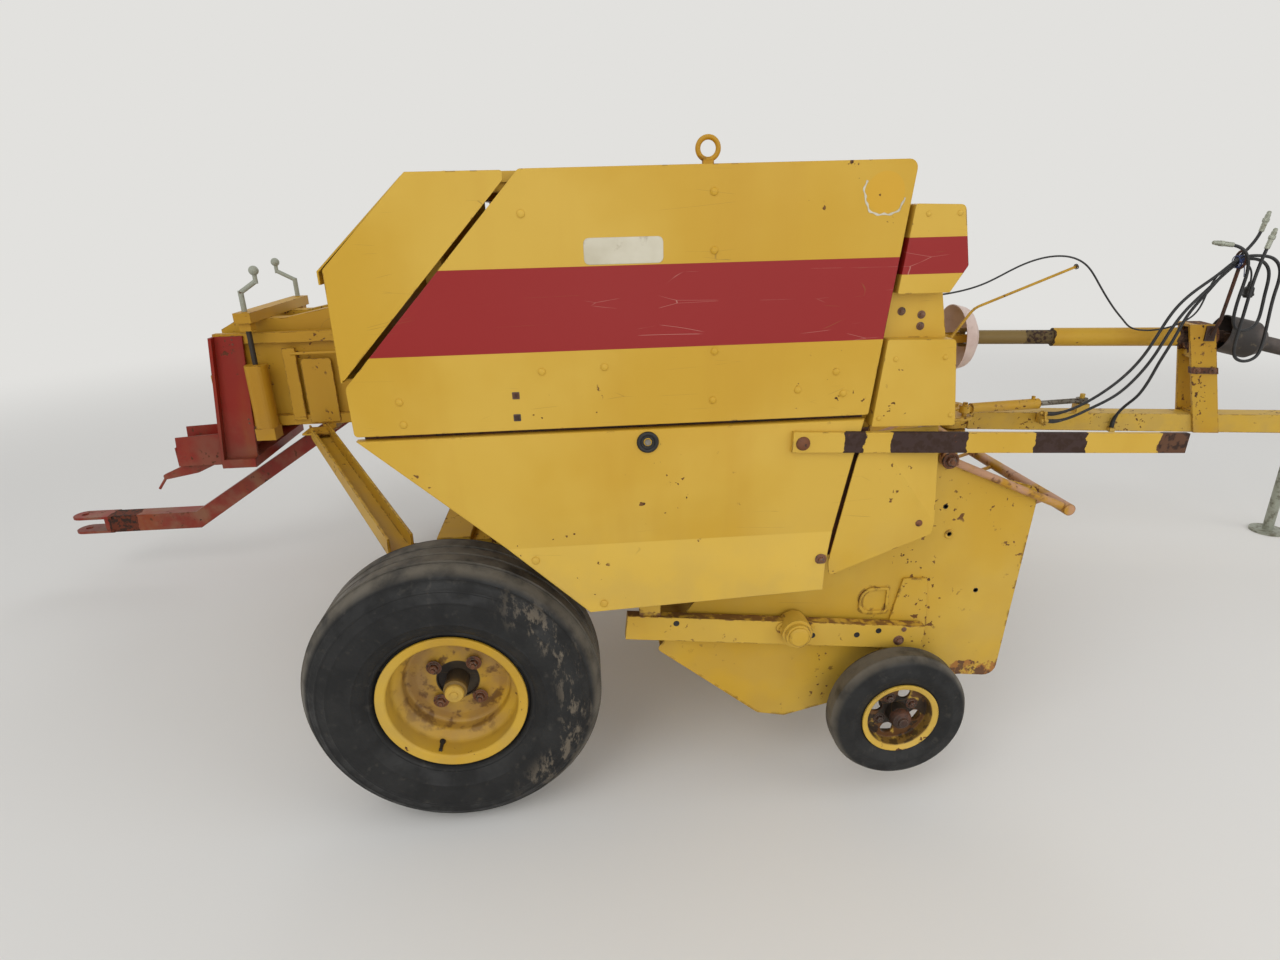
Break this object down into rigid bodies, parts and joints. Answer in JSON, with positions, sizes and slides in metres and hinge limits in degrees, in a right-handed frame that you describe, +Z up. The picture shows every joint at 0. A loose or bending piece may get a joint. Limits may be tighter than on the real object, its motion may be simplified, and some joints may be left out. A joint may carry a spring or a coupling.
{
  "type": "square baler",
  "caption": "Towed square baler with side pickup, folding shields, bale chamber, swinging drawbar with driveline, and a rear wagon hitch.",
  "frame": {"origin": "middle of the machine outline at floor level, parked on its two wheels and its jack", "axes": "+X forward in the direction of travel, +Y to the left of the machine, +Z up"},
  "size_m": [6.399, 2.5269, 1.955],
  "materials": {
    "yellow_sheet": "sun-faded yellow enamel on sheet steel",
    "yellow_frame": "worn yellow enamel with rust at the edges",
    "red_frame": "chipped red enamel over rust",
    "rim_paint": "yellow enamel on pressed steel",
    "tyre_rubber": "weathered black rubber with dust",
    "bare_steel": "worn and oiled steel",
    "rusty_steel": "brown rust on steel",
    "pale_plastic": "faded moulded plastic",
    "dark_plastic": "dusty black moulded plastic",
    "hose_rubber": "black hydraulic hose"
  },
  "bodies": {
    "chassis": {"axle": "yellow_frame", "chamber_right": "yellow_frame", "chamber_left": "yellow_frame", "chamber_floor": "yellow_frame", "chamber_top": "yellow_frame", "tension_gear": "yellow_frame", "hitch_posts": "red_frame", "hitch_arm": "red_frame", "chute_bracket": "red_frame", "brace": "yellow_frame", "front_frame": "yellow_frame", "gearbox": "yellow_frame", "plunger": "rusty_steel", "knotters": "rusty_steel", "needles": "rusty_steel", "feeder_housing": "yellow_frame", "cover_frame": "yellow_frame", "side_rail": "yellow_frame", "hinge_bracket": "yellow_frame", "lower_shield": "yellow_sheet", "rear_cover": "yellow_sheet", "top_deck": "yellow_sheet", "front_cover": "yellow_sheet", "corner_plate": "yellow_sheet", "guard_rail": "yellow_frame", "lifting_eye": "yellow_frame", "cone_guard": "pale_plastic", "cable_arm": "yellow_frame"},
    "right_wheel": {"wheel_right": "rim_paint", "tyre_right": "tyre_rubber"},
    "left_wheel": {"wheel_left": "rim_paint", "tyre_left": "tyre_rubber"},
    "gauge_wheel": {"gauge_rim": "rim_paint", "gauge_tyre": "tyre_rubber"},
    "tine_reel": {"reel": "rusty_steel"},
    "wind_guard": {"windguard": "yellow_frame"},
    "pickup": {"pickup_ends": "yellow_frame", "pickup_pan": "yellow_frame", "strippers": "yellow_frame", "gauge_axle": "yellow_frame"},
    "shield_door": {"side_shield": "yellow_sheet"},
    "twine_lid": {"twine_door": "yellow_sheet"},
    "feed_rotor": {"feeder_rotor": "yellow_frame"},
    "fly_wheel": {"flywheel": "yellow_frame"},
    "drive_shaft": {"driveline": "yellow_frame"},
    "pto_half": {"front_shaft": "rusty_steel"},
    "draw_bar": {"drawbar": "yellow_frame", "pedestal": "yellow_frame", "hose_stand": "bare_steel", "front_guard": "dark_plastic", "hose_1": "hose_rubber", "hose_2": "hose_rubber", "hose_3": "hose_rubber", "cable_1": "hose_rubber"},
    "jack": {"jack_leg": "bare_steel"},
    "ram_tube": {"ram_barrel": "yellow_frame"},
    "ram_shaft": {"ram_rod": "bare_steel"}
  },
  "joints": [
    {"name": "right_wheel_spin", "type": "hinge", "parent": "chassis", "child": "right_wheel", "pos_m": [-1.03, -1.0915, 0.4225], "axis": [0, 1, 0], "continuous": true},
    {"name": "left_wheel_spin", "type": "hinge", "parent": "chassis", "child": "left_wheel", "pos_m": [-1.03, 1.1158, 0.4225], "axis": [0, 1, 0], "continuous": true},
    {"name": "pickup_lift", "type": "hinge", "parent": "chassis", "child": "pickup", "pos_m": [-0.04, -0.409, 0.56], "axis": [0, 1, 0], "range_deg": [0, 13.5]},
    {"name": "tine_reel_spin", "type": "hinge", "parent": "pickup", "child": "tine_reel", "pos_m": [0.31, -0.371, 0.5], "axis": [0, 1, 0], "continuous": true},
    {"name": "gauge_wheel_spin", "type": "hinge", "parent": "pickup", "child": "gauge_wheel", "pos_m": [0.26, -1.2165, 0.298], "axis": [0, 1, 0], "continuous": true},
    {"name": "wind_guard_lift", "type": "hinge", "parent": "pickup", "child": "wind_guard", "pos_m": [0.374, -0.371, 1.05], "axis": [0, -1, 0], "range_deg": [0, 35]},
    {"name": "shield_door_open", "type": "hinge", "parent": "chassis", "child": "shield_door", "pos_m": [-0.33, -1.193, 1.788], "axis": [-1, 0, 0], "range_deg": [0, 75]},
    {"name": "twine_lid_open", "type": "hinge", "parent": "chassis", "child": "twine_lid", "pos_m": [-0.986, -0.509, 1.788], "axis": [0, 1, 0], "range_deg": [0, 110]},
    {"name": "feed_rotor_spin", "type": "hinge", "parent": "chassis", "child": "feed_rotor", "pos_m": [-0.44, -0.349, 1.12], "axis": [1, 0, 0], "continuous": true},
    {"name": "fly_wheel_spin", "type": "hinge", "parent": "chassis", "child": "fly_wheel", "pos_m": [1.004, 0.651, 1.068], "axis": [1, 0, 0], "continuous": true},
    {"name": "draw_bar_swing", "type": "hinge", "parent": "chassis", "child": "draw_bar", "pos_m": [1.32, 0.651, 0.642], "axis": [0, 0, 1], "range_deg": [0, 16]},
    {"name": "drive_shaft_spin", "type": "hinge", "parent": "draw_bar", "child": "drive_shaft", "pos_m": [1.32, 0.651, 1.068], "axis": [0.9781, -0.2079, 0], "continuous": true},
    {"name": "pto_half_spin", "type": "hinge", "parent": "draw_bar", "child": "pto_half", "pos_m": [2.56714, 0.38591, 1.068], "axis": [0.9491, -0.2017, -0.2419], "continuous": true},
    {"name": "jack_slide", "type": "slide", "parent": "draw_bar", "child": "jack", "axis": [0, 0, 1], "range_m": [0, 0.38]},
    {"name": "ram_turn", "type": "hinge", "parent": "chassis", "child": "ram_tube", "pos_m": [1.27, 0.441, 0.748], "axis": [0, 0, 1], "range_deg": [-1, 15]},
    {"name": "ram_slide", "type": "slide", "parent": "ram_tube", "child": "ram_shaft", "axis": [0.9956, 0.0939, 0], "range_m": [-0.002, 0.056]}
  ],
  "couplings": [
    {"joint": "drive_shaft_spin", "follows": "fly_wheel_spin", "ratio": 1},
    {"joint": "pto_half_spin", "follows": "fly_wheel_spin", "ratio": 1},
    {"joint": "ram_turn", "follows": "draw_bar_swing", "ratio": 0.8634},
    {"joint": "ram_slide", "follows": "draw_bar_swing", "m_per_rad": 0.1941}
  ]
}
